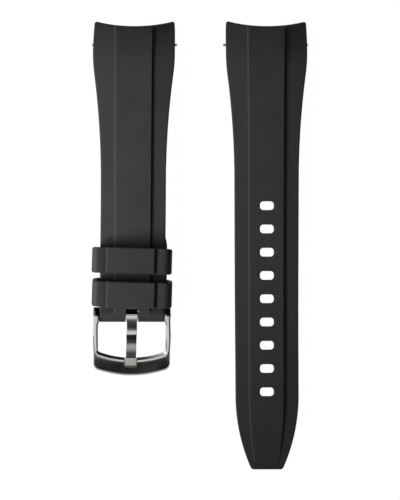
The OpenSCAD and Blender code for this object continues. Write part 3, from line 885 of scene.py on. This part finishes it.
def keeperLoop(name, t, user):
    # turned on the strap, tilted with its bend, and set round the middle of its thickness
    strap = buckleHalfUser
    middleR = strap["bendR"] + (strap["bandH"] - strap["strapT"]) / 2
    past = t - strap["bendT"]
    tilt = math.asin(past / middleR) if past > user["levelL"] else 0
    yaw = -math.radians(user["yaw"])
    halfT = (strap["strapT"] + strap["bandH"]) / 2
    spin = np.array([[math.cos(yaw), -math.sin(yaw), 0], [math.sin(yaw), math.cos(yaw), 0], [0, 0, 1]])
    bend = np.array([[1, 0, 0], [0, math.cos(tilt), -math.sin(tilt)], [0, math.sin(tilt), math.cos(tilt)]])
    place = np.array([
        places["leftX"] - user["shift"],
        places["pinY"] + strap["pinT"] - t,
        strap["lugH"] - strap["bendR"] + middleR * math.cos(tilt),
    ])
    drop = np.array([0, 0, -halfT - user["play"] - user["wall"]])

    def toWorld(points):
        return (points + drop) @ spin.T @ bend.T + place

    loop = loftMesh(name, toWorld(keeperRings(user)))
    return cutAway(loop, [stackMesh("boreCut", toWorld(keeperBore(user)))])


for pieceName, (nodeName, t) in keeperPlaces.items():
    loop = keeperLoop(pieceName, t, keeperUser)
    placePiece(pieceName, loop, keeperRubber, nodeName, nodeName)
print("keepers made")


# The steel buckle. t is the distance from the bar's axis towards the front

frameUser = {
    "insideW": 16.46,
    "armW": 1.22,
    "armStep": 0.25,
    "frontInset": 0.1,
    "sideT": (1.8, 3.8, 5.1, 6.1, 7.9, 9.6),            # the arm's outer side swells out and
    "sideOut": (0, 0.084, 0.14, 0.056, -0.05, -0.1),    # comes in again to the front
    "shift": -0.3,           # the buckle lies a little to the left
    "lean": -0.008,          # and a little askew: sideways for each millimetre along
    "eyeR": 2.0,
    "boreR": 0.53,
    "bossIn": 0.3,           # the eyes stand in towards the rubber
    "bossStop": (1.3, 1.2),
    "frameL": 14.68,
    "frontT": 4.37,
    "frontR": 26.2,
    "windowR": 23.0,
    "cornerR": 1.7,
    "windowCornerR": 0.8,
    "lateStart": (4.0, 4.5),    # from here on the arm's section turns into the front's
    "bevelW": 0.5,           # bevel along the window's front, and its slope
    "bevelFall": 0.78,
    "stripW": 0.56,          # flatter strip along the window
    "stripDrop": 0.16,
    "faceRise": 0.12,        # the front's face is steeper than the crown
    "crownH": 1.6,
    "crownT": 0.95,
    "crownR": 26.0,
    "archH": 1.5,
    "archR": 14.0,
    "archT": 4.95,
    "archL": 1.5,
    "armTurn": 0.58,
    "cornerTurn": 0.42,
    "frontInTurn": 0.08,
    "frontOutTurn": 0.5,
    "underTurn": 0.2,
    "paintedShadeInner": 0.92,      # painted shade on the window's wall at the front, and on the left arm's inner wall
    "paintedShadeLeftArm": 0.4,
    "paintedShadeOuter": 0.75,      # painted shade on the front's outer wall, and its share at the corners
    "paintedShadeCornerShare": 0.9,
    "paintedShadeEyes": 0.95,        # painted shade on the eyes behind the bar's axis
    "eyeStop": (-0.05, 0.5),
    "restW": 3.3,            # rest for the tongue's pad
    "restL": 4.0,
    "restR": 0.35,
    "restT": 11.875,
    "restD": 0.5,
    "restShift": -0.32,
    "restPlay": 0.1,
}

tongueUser = {
    "offT": (0, 1.5, 3.3, 8.0, 11.4),                 # sideways place at distances along
    "offX": (-0.36, -0.35, -0.33, -0.53, -0.6),
    "eyeR": 1.45,
    "backL": 1.6,            # the eye reaches further on its far side
    "eyeHalf": 1.5,
    "eyeStop": (1.0, 0.8),
    "stripHalf": 1.28,
    "padHalf": 1.62,
    "boreR": 0.8,
    "ridgeT": -0.15,         # the eye's highest line
    "highZ": 1.19,
    "humpH": 0.26,           # the eye's ridge stands this much higher, and falls off over humpL
    "humpL": 0.45,
    "thick": 0.92,
    "stepT": (3.0, 3.6, 4.2, 4.65, 5.0),              # slopes down to the foot of the step
    "stepSlope": (0, 0.045, 0.13, 0.33, 0.56),
    "creaseT": 5.9,          # foot of the step
    "pastT": (6.45, 7.3, 8.2, 9.3, 10.4),             # and past it
    "pastSlope": (0, 0.065, 0.055, 0.01, 0.01),
    "padT": 10.3,
    "padZ": 0.45,            # height of the pad at padMiddle past its start
    "padMiddle": 0.25,
    "padSlope": 0.336,
    "padCurve": 0.004,
    "endT": 12.72,
    "lowZ": -0.88,
    "footT": 10.9,           # from here on the underside follows the rest in the frame
    "footZ": -0.86,
    "footSlope": 0.462,
    "turn": 0.12,
    "underTurn": 0.15,
    "padTurn": 0.42,
    "paintedShadeEnds": 0.85,        # painted shade on the two ends: the pad's end and the eye's far side
}


def crownTop(t, user):
    # top of the frame from the side: the eye's circle, the straight line that touches both circles,
    # then the crown's long arc
    middleZ = user["crownH"] - user["crownR"]
    apart = math.hypot(user["crownT"], middleZ)
    slant = math.acos((user["crownR"] - user["eyeR"]) / apart) - math.atan2(user["crownT"], -middleZ)
    eyeEnd = user["eyeR"] * math.sin(slant)
    crownStart = user["crownT"] + user["crownR"] * math.sin(slant)
    line = user["eyeR"] / math.cos(slant) - t * math.tan(slant)
    crown = middleZ + arcHeight(user["crownR"], t - user["crownT"])
    return np.select([t < eyeEnd, t < crownStart], [arcHeight(user["eyeR"], t), line], crown)


def archUnder(t, user):
    # underside: the eye's circle, then the arch, then the level that it stands on
    floorZ = -places["pinZ"]
    arch = user["archH"] + floorZ - user["archR"] + arcHeight(user["archR"], t - user["archT"])
    eye = -arcHeight(user["eyeR"], t)
    return eye + (np.maximum(arch, floorZ) - eye) * easeUp(t, 0, user["archL"])


def arcPoints(middle, radius, angle):
    # points on a circle about (x, t)
    return np.stack([middle[0] + radius * np.cos(angle), middle[1] + radius * np.sin(angle)], -1)


def frameLines(user):
    # inner and outer plan lines of the right half, from the eye to the middle of the front,
    # as pairs of points: straight arms, then round corners, then the long arcs of the front
    insideX = user["insideW"] / 2
    frontX = insideX + user["armW"] - user["frontInset"]
    inR, outR = user["windowCornerR"], user["cornerR"]
    inX, outX = insideX - inR, frontX - outR
    inMiddle = user["frameL"] - user["frontT"] - user["windowR"]
    outMiddle = user["frameL"] - user["frontR"]
    inT = inMiddle + math.sqrt((user["windowR"] - inR) ** 2 - inX ** 2)
    outT = outMiddle + math.sqrt((user["frontR"] - outR) ** 2 - outX ** 2)
    inAngle = math.atan2(inT - inMiddle, inX)
    outAngle = math.atan2(outT - outMiddle, outX)

    eye = -user["eyeR"] * np.cos(np.linspace(0, math.pi / 2, 14))
    armT = np.concatenate([eye, np.arange(user["armStep"], inT, user["armStep"]), [inT]])
    sideX = insideX + user["armW"] + np.interp(armT, user["sideT"], user["sideOut"])
    boss = user["bossIn"] * (1 - easeUp(armT, *user["bossStop"]))
    inner = [np.stack([insideX - boss, armT], -1)]
    outer = [np.stack([sideX, armT], -1)]

    # corner: the outer line first runs on straight
    share = np.linspace(0, 1, 27)[1:]
    straight = outT - inT
    along = share * (straight + outR * outAngle)
    turn = np.clip((along - straight) / outR, 0, outAngle)
    outer.append(arcPoints((outX, np.minimum(inT + along, outT)), outR, turn))
    inner.append(arcPoints((inX, inT), inR, share * inAngle))

    share = np.linspace(0, 1, 25)[1:]
    outer.append(arcPoints((0, outMiddle), user["frontR"], outAngle + share * (math.pi / 2 - outAngle)))
    inner.append(arcPoints((0, inMiddle), user["windowR"], inAngle + share * (math.pi / 2 - inAngle)))
    return np.concatenate(inner), np.concatenate(outer)


def restCut(place, user):
    # rest for the tongue's pad: its floor slopes as the crown does there
    restT = user["restT"]
    restZ = float(crownTop(np.array(restT), user))
    tilt = math.tan(math.asin((restT - user["crownT"]) / user["crownR"]))
    x, t = roundOutline(user["restW"], user["restL"], user["restR"])
    t = t + tongueUser["endT"] + user["restPlay"] - user["restL"] / 2
    floor = place[2] + restZ - user["restD"] - tilt * (t - restT)
    return uprightCut("restCut", place[0] + user["restShift"] + x, place[1] - t, floor, floor + 4)


def withUnderside(brushAndPaintedShade):
    # the same values for the underside, whose lines are a little further across
    return np.concatenate([brushAndPaintedShade, brushAndPaintedShade[:, ::-1] + [0, 4, 0]], 1)


def buckleFrame(user):
    # a section of walls, turns and top between the inner and the outer line, carried along them
    inner, outer = frameLines(user)
    flip = np.array([-1, 1])
    inner = np.concatenate([inner * flip, inner[-2::-1]])
    outer = np.concatenate([outer * flip, outer[-2::-1]])
    step = outer - inner
    width = np.hypot(step[:, 0], step[:, 1])[:, None]
    front = smoothStep(step[:, 1:] / width)
    late = easeUp(inner[:, 1:], *user["lateStart"])
    arm = user["armTurn"] + (user["cornerTurn"] - user["armTurn"]) * late
    inTurn = arm + (user["frontInTurn"] - arm) * front
    outTurn = arm + (user["frontOutTurn"] - arm) * front
    out, down = roundTurn(8)
    share = np.array([0.03, 0.1, 0.2, 0.32, 0.45, 0.6, 0.75, 0.9, 0.97])
    inEdge, outEdge = inTurn * out, width - (outTurn * out)[:, ::-1]
    flat = inTurn + (width - inTurn - outTurn) * share
    across = np.concatenate([inEdge, flat, outEdge], 1)
    fallShare = np.concatenate([down, 0 * share, down[::-1]])
    radius = np.concatenate([inTurn + 0 * inEdge, 0 * flat, outTurn + 0 * outEdge], 1)
    x = inner[:, :1] + step[:, :1] * across / width
    t = inner[:, 1:] + step[:, 1:] * across / width

    # heights: the crown, less the bevel, the strip along the window and the steeper face
    top, under = crownTop(t, user), archUnder(t, user)
    most = 0.48 * np.maximum(top - under, 0)
    bevel = user["bevelW"] * front
    past = across - bevel
    strip = np.clip(1 - past / user["stripW"], 0, 1) ** 2 * user["stripDrop"]
    face = np.clip((width - across) / (width - user["stripW"] - bevel), 0, 1) ** 2 * user["faceRise"]
    drop = (strip - face) * front + np.maximum(-past, 0) * user["bevelFall"]
    upper = top - drop - np.minimum(radius, most) * fallShare
    lower = under + np.minimum(np.minimum(radius, user["underTurn"]), most) * fallShare
    place = barPlace + [user["shift"], 0, 0]
    rings = place + closedRings(x + user["lean"] * t, -t, upper, lower)

    # brush lines run along the frame, and painted shade darkens its walls and eyes
    middle = (inner + outer) / 2
    along = np.concatenate([[0], np.cumsum(np.hypot(*np.diff(middle, axis=0).T))])
    # painted shade: the left arm's inner wall, the front's inner and outer walls, the corners and the eyes
    leftArmPaintedShade = user["paintedShadeLeftArm"] * (inner[:, :1] < 0)
    innerPaintedShade = leftArmPaintedShade + (user["paintedShadeInner"] - leftArmPaintedShade) * late
    outerPaintedShade = user["paintedShadeOuter"] * np.maximum(front, user["paintedShadeCornerShare"] * late)
    paintedShade = np.where(across < width / 2, innerPaintedShade, outerPaintedShade) * easeUp(fallShare, 0.15, 0.4)
    paintedShade = np.maximum(paintedShade, user["paintedShadeEyes"] * (1 - easeUp(t, *user["eyeStop"])))
    brushAndPaintedShade = np.stack([np.broadcast_to(along[:, None], across.shape), across, paintedShade], -1)
    mesh = loftMesh("buckleFrame", rings, withUnderside(brushAndPaintedShade))
    return cutAway(mesh, [
        crossBore("barCut", place, user["boreR"], user["insideW"] + 8),
        restCut(place, user),
    ])


def eyeArc(t, user):
    # outline of the eye: a circle, drawn out on the side away from the strip
    away = np.where(t < 0, t * user["eyeR"] / user["backL"], t)
    return arcHeight(user["eyeR"], away)


def tongueTop(t, user):
    # side line: the eye's ridge, a level piece, a rounded step down with a crease at its foot, and
    # a gentle slope. The fall is the sum of the slopes along the way
    fine = np.arange(0, user["endT"], 0.001)
    crease = user["creaseT"]
    knots = [*user["stepT"], crease, crease + 0.001, *user["pastT"]]
    slopes = [*user["stepSlope"], user["stepSlope"][-1], 0, *user["pastSlope"]]
    fall = np.cumsum(np.interp(fine, knots, slopes)) * (fine[1] - fine[0])
    past = t - user["ridgeT"]
    hump = user["humpH"] * np.exp(-np.maximum(past, 0) / user["humpL"])
    line = np.where(past > 0, user["highZ"] + hump - np.interp(t, fine, fall), eyeArc(t, user))
    away = t - user["padT"] - user["padMiddle"]
    pad = user["padZ"] - user["padSlope"] * away - user["padCurve"] * away * away
    return line + (pad - line) * easeUp(t, user["padT"] - 0.12, 0.24)


def tongueUnder(t, user):
    # underside: the eye, then the strip's thickness under its top, then the foot of the pad
    strip = tongueTop(np.minimum(t, user["padT"] - 0.2), user) - user["thick"]
    strip = np.maximum(strip, user["lowZ"])
    eye = -eyeArc(t, user)
    line = eye + (strip - eye) * easeUp(t, 0.4, 1.1)
    foot = user["footZ"] - user["footSlope"] * (t - user["footT"])
    return np.where(t > user["footT"], np.minimum(line, foot), line)


def tongueStations(user):
    # close together round the eye, the crease, the pad's edge and the end
    crease, padT = user["creaseT"], user["padT"]
    turnEnd = user["endT"] - user["padTurn"]
    quarter = np.linspace(0, math.pi / 2, 18)
    return np.concatenate([
        -user["backL"] * np.cos(quarter),
        np.linspace(0.1, crease - 0.2, 57),
        crease + np.arange(-3, 4) * 0.04,
        np.linspace(crease + 0.2, padT - 0.2, 41),
        np.arange(padT - 0.16, padT + 0.3, 0.04),
        np.arange(padT + 0.4, turnEnd, 0.15),
        turnEnd + user["padTurn"] * np.sin(quarter),
    ])


def buckleTongue(user):
    # a flat section with turned edges, carried along the side line
    t = tongueStations(user)
    padT, turnEnd = user["padT"], user["endT"] - user["padTurn"]
    half = user["eyeHalf"] + (user["stripHalf"] - user["eyeHalf"]) * easeUp(t, *user["eyeStop"])
    half = half + (user["padHalf"] - user["stripHalf"]) * easeUp(t, padT - 0.14, 0.3)
    inset = user["padTurn"] - arcHeight(user["padTurn"], np.maximum(t - turnEnd, 0))
    half = (half - inset)[:, None]
    top, under = tongueTop(t, user) - inset, tongueUnder(t, user) + inset * 0.4
    turn = user["turn"] + (user["padTurn"] - user["turn"]) * easeUp(t, padT, 0.4)
    turn = np.minimum(turn, 0.48 * np.maximum(top - under, 0))[:, None]
    out, down = roundTurn(7)
    share = np.linspace(0, 1, 9)[1:-1]
    edge = user["turn"] * out - half
    flat = user["turn"] - half + 2 * (half - user["turn"]) * share
    x = np.concatenate([edge, flat, -edge[:, ::-1]], 1)
    fallShare = np.concatenate([down, 0 * share, down[::-1]])
    upper = top[:, None] - turn * fallShare
    lower = under[:, None] + np.minimum(turn, user["underTurn"]) * fallShare
    off = np.interp(t, user["offT"], user["offX"])[:, None]
    line = np.broadcast_to(-t[:, None], x.shape)
    rings = barPlace + closedRings(x + off, line, upper, lower)
    # painted shade on the pad's end and on the eye's far side
    paintedShade = user["paintedShadeEnds"] * np.maximum(easeUp(t, turnEnd - 0.15, 0.25), easeUp(-t, 0.3, 0.35))
    brushAndPaintedShade = np.stack([-line, x, paintedShade[:, None] + 0 * x], -1)
    mesh = loftMesh("buckleTongue", rings, withUnderside(brushAndPaintedShade))
    return cutAway(mesh, [crossBore("eyeCut", barPlace, user["boreR"], 8)])


def creaseAcross(mesh, y):
    # a sharp line along X: the edges with both ends at this y
    points = np.empty(len(mesh.vertices) * 3)
    mesh.vertices.foreach_get("co", points)
    ends = np.empty(len(mesh.edges) * 2, dtype=np.int32)
    mesh.edges.foreach_get("vertices", ends)
    sharp = np.empty(len(mesh.edges), dtype=bool)
    mesh.edges.foreach_get("use_edge_sharp", sharp)
    away = np.abs(points[1::3] * 1000 - y)[ends.reshape(-1, 2)].max(1)
    mesh.edges.foreach_set("use_edge_sharp", sharp | (away < 0.004))


placePiece("buckleFrame", buckleFrame(frameUser), frameSteel, "buckle_frame", "buckle_frame")
tongue = placePiece(
    "buckleTongue", buckleTongue(tongueUser), tongueSteel, "buckle_tongue", "buckle_tongue"
)
creaseAcross(tongue.data, places["pinY"] - tongueUser["creaseT"])
print("steel buckle made")


# Springs of the three bars, each in two halves

springUser = {
    "wireR": 0.09,
    "curls": 6,              # in each half
    "steps": 16,             # to a curl
    "sides": 10,
}

springHalves = {
    # the node, the side of its middle, and the bodies at the middle and at the end
    "buckleBarSpringLeft": ("buckle_bar_spring", -1, "buckle_half", "buckle_bar_left_tip"),
    "buckleBarSpringRight": ("buckle_bar_spring", 1, "buckle_half", "buckle_bar_right_tip"),
    "buckleLugSpringInner": ("buckle_lug_bar_spring", 1, "buckle_half", "buckle_lug_bar_inner_tip"),
    "buckleLugSpringOuter": ("buckle_lug_bar_spring", -1, "buckle_half", "buckle_lug_bar_outer_tip"),
    "tailLugSpringInner": ("tail_lug_bar_spring", -1, "tail_half", "tail_lug_bar_inner_tip"),
    "tailLugSpringOuter": ("tail_lug_bar_spring", 1, "tail_half", "tail_lug_bar_outer_tip"),
}


def springHalf(name, nodeName, side, user):
    # a wire round a helix: x grows evenly from the middle to the end, and y, z go round at the
    # helix's radius plus the wire's, with the wire's ring tilted by the lead
    low, high = (np.array(corner) * 1000 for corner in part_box(nodeName))
    wireR, curls = user["wireR"], user["curls"]
    middle = (low + high) / 2
    reach = (high[0] - low[0]) / 2 - wireR
    radius = (high[2] - low[2]) / 2 - wireR
    share = np.linspace(0, 1, curls * user["steps"] + 1)[:, None]
    turn = side * share * curls * 2 * math.pi
    lead = math.atan(reach / curls / (2 * math.pi * radius))
    ring = np.linspace(0, 2 * math.pi, user["sides"], endpoint=False)
    out, along = wireR * np.cos(ring), wireR * np.sin(ring)
    x = side * reach * share + along * math.cos(lead)
    y = (radius + out) * np.cos(turn) + along * math.sin(lead) * np.sin(turn)
    z = (radius + out) * np.sin(turn) - along * math.sin(lead) * np.cos(turn)
    mesh = loftMesh(name, middle + np.stack([x, y, z], -1))
    end = middle + np.array([side * (reach + wireR), 0, 0])
    return mesh, middle / 1000, end / 1000


for pieceName, (nodeName, side, body, tip) in springHalves.items():
    mesh, middle, end = springHalf(pieceName, nodeName, side, springUser)
    piece = placePiece(pieceName, mesh, springSteel, None, nodeName)
    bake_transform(piece)
print("springs made")


# Finish of the CAD nodes

finishUser = {
    # by the last word of a node's name
    "strap": strapRubber,
    "keeper": keeperRubber,
    "frame": frameSteel,
    "tongue": tongueSteel,
    "tube": barSteel,
    "tip": barSteel,
    "spring": springSteel,
}

for nodeName, node in nodes.items():
    node.data.materials.clear()
    node.data.materials.append(finishUser[nodeName.split("_")[-1]])
print("nodes dressed")


# Floor, world and lamp

floorUser = {
    "reach": 2.0,
    "level": -0.00002,
    "ground": (0.03, 0.03, 0.03),    # what the lamp lights, with the strap's shadow on it
    "roughness": 0.9,
    "white": 0.99,
}

worldUser = {
    # ramps over a direction's x, y or z: value at the start and at the end, and where they are
    "ahead": (1.0, 0.0, -0.215, -0.04),
    "high": (0.02, 1.25, 0.70, 0.84),
    "low": (0.3, 0.0, 0.1, 0.4),
    "rightwards": (1.0, 0.35, -0.1, 0.8),
    "leftWall": (2.4, 0.012, -0.7, -0.2),
    "leftAhead": (0.1, 1.0, -0.28, -0.1),
    "even": 0.05,                    # light on matt surfaces, from all sides
}

lampUser = {
    "at": (-0.132, -0.042, 0.086),
    "aim": (-0.034, 0.035, -0.018),
    "size": (0.086, 0.055),
    "power": 0.083,
    "spread": 80,
}


def addFloor(user):
    # a flat square under the strap: one grid of four points
    side = np.array([-user["reach"], user["reach"]])
    x, y = np.meshgrid(side, side)
    points = np.column_stack([x.ravel(), y.ravel(), np.full(4, user["level"])])
    mesh = bpy.data.meshes.new("tableTop")
    mesh.from_pydata(points.tolist(), [], [(0, 1, 3, 2)])
    floor = newObject("tableTop", mesh)
    material, tree, shader = newMaterial("tablePaper")
    shader.inputs["Base Color"].default_value = (*user["ground"], 1)
    shader.inputs["Roughness"].default_value = user["roughness"]
    # white to the camera, and also to metal and through glass
    light = addNode(tree, "ShaderNodeLightPath")
    seen = calculate(
        tree, "MAXIMUM", light.outputs["Is Camera Ray"], light.outputs["Is Transmission Ray"]
    )
    seen = calculate(tree, "MAXIMUM", seen, light.outputs["Is Glossy Ray"])
    glow = addNode(tree, "ShaderNodeEmission")
    glow.inputs["Color"].default_value = (1, 1, 1, 1)
    tree.links.new(calculate(tree, "MULTIPLY", seen, user["white"]), glow.inputs["Strength"])
    both = addNode(tree, "ShaderNodeAddShader")
    tree.links.new(shader.outputs[0], both.inputs[0])
    tree.links.new(glow.outputs[0], both.inputs[1])
    tree.links.new(both.outputs[0], tree.nodes["Material Output"].inputs["Surface"])
    mesh.materials.append(material)


def addWorld(user):
    # a studio as metal shows it: a soft box overhead in front, a pale wall on the left, dark behind
    world = bpy.data.worlds.new("studio")
    world.use_nodes = True
    scene.world = world
    tree = world.node_tree
    source = addNode(tree, "ShaderNodeTexCoord")
    split = addNode(tree, "ShaderNodeSeparateXYZ")
    tree.links.new(source.outputs["Generated"], split.inputs[0])
    x, y, z = split.outputs
    raised = calculate(tree, "ADD", ramp(tree, z, *user["high"]), ramp(tree, z, *user["low"]))
    box = calculate(tree, "MULTIPLY", ramp(tree, y, *user["ahead"]), raised)
    box = calculate(tree, "MULTIPLY", box, ramp(tree, x, *user["rightwards"]))
    wall = calculate(
        tree, "MULTIPLY", ramp(tree, x, *user["leftWall"]), ramp(tree, y, *user["leftAhead"])
    )
    level = calculate(tree, "ADD", box, wall)
    # matt surfaces get an even light instead
    matt = addNode(tree, "ShaderNodeLightPath").outputs["Is Diffuse Ray"]
    even = calculate(tree, "MULTIPLY", matt, user["even"])
    gloss = calculate(tree, "SUBTRACT", 1.0, matt)
    ground = tree.nodes["Background"]
    tree.links.new(calculate(tree, "MULTIPLY_ADD", gloss, level, even), ground.inputs["Strength"])
    ground.inputs["Color"].default_value = (1, 1, 1, 1)


def metalPieces():
    # the steel buckle, the springs, and the nodes that keep their CAD shape
    group = bpy.data.collections.new("metalPieces")
    barNodes = [name for name in nodes if name.endswith(("tube", "tip", "spring"))]
    for name in ["buckleFrame", "buckleTongue", *springHalves, *barNodes]:
        group.objects.link(bpy.data.objects[name])
    for member in group.collection_objects:
        member.light_linking.link_state = "EXCLUDE"
    return group


def addLamp(name, user, metal):
    data = bpy.data.lights.new(name, "AREA")
    data.shape = "RECTANGLE"
    data.size, data.size_y = user["size"]
    data.energy = user["power"]
    data.spread = math.radians(user["spread"])
    lamp = newObject(name, data)
    lamp.location = user["at"]
    away = Vector(user["at"]) - Vector(user["aim"])
    lamp.rotation_euler = away.to_track_quat("Z", "Y").to_euler()
    # metal shows the studio only: the lamp itself would be a white dot in it
    lamp.light_linking.receiver_collection = metal


addFloor(floorUser)
addWorld(worldUser)
addLamp("keyLeft", lampUser, metalPieces())
scene.view_settings.view_transform = "Standard"
print("floor, world and lamp placed")
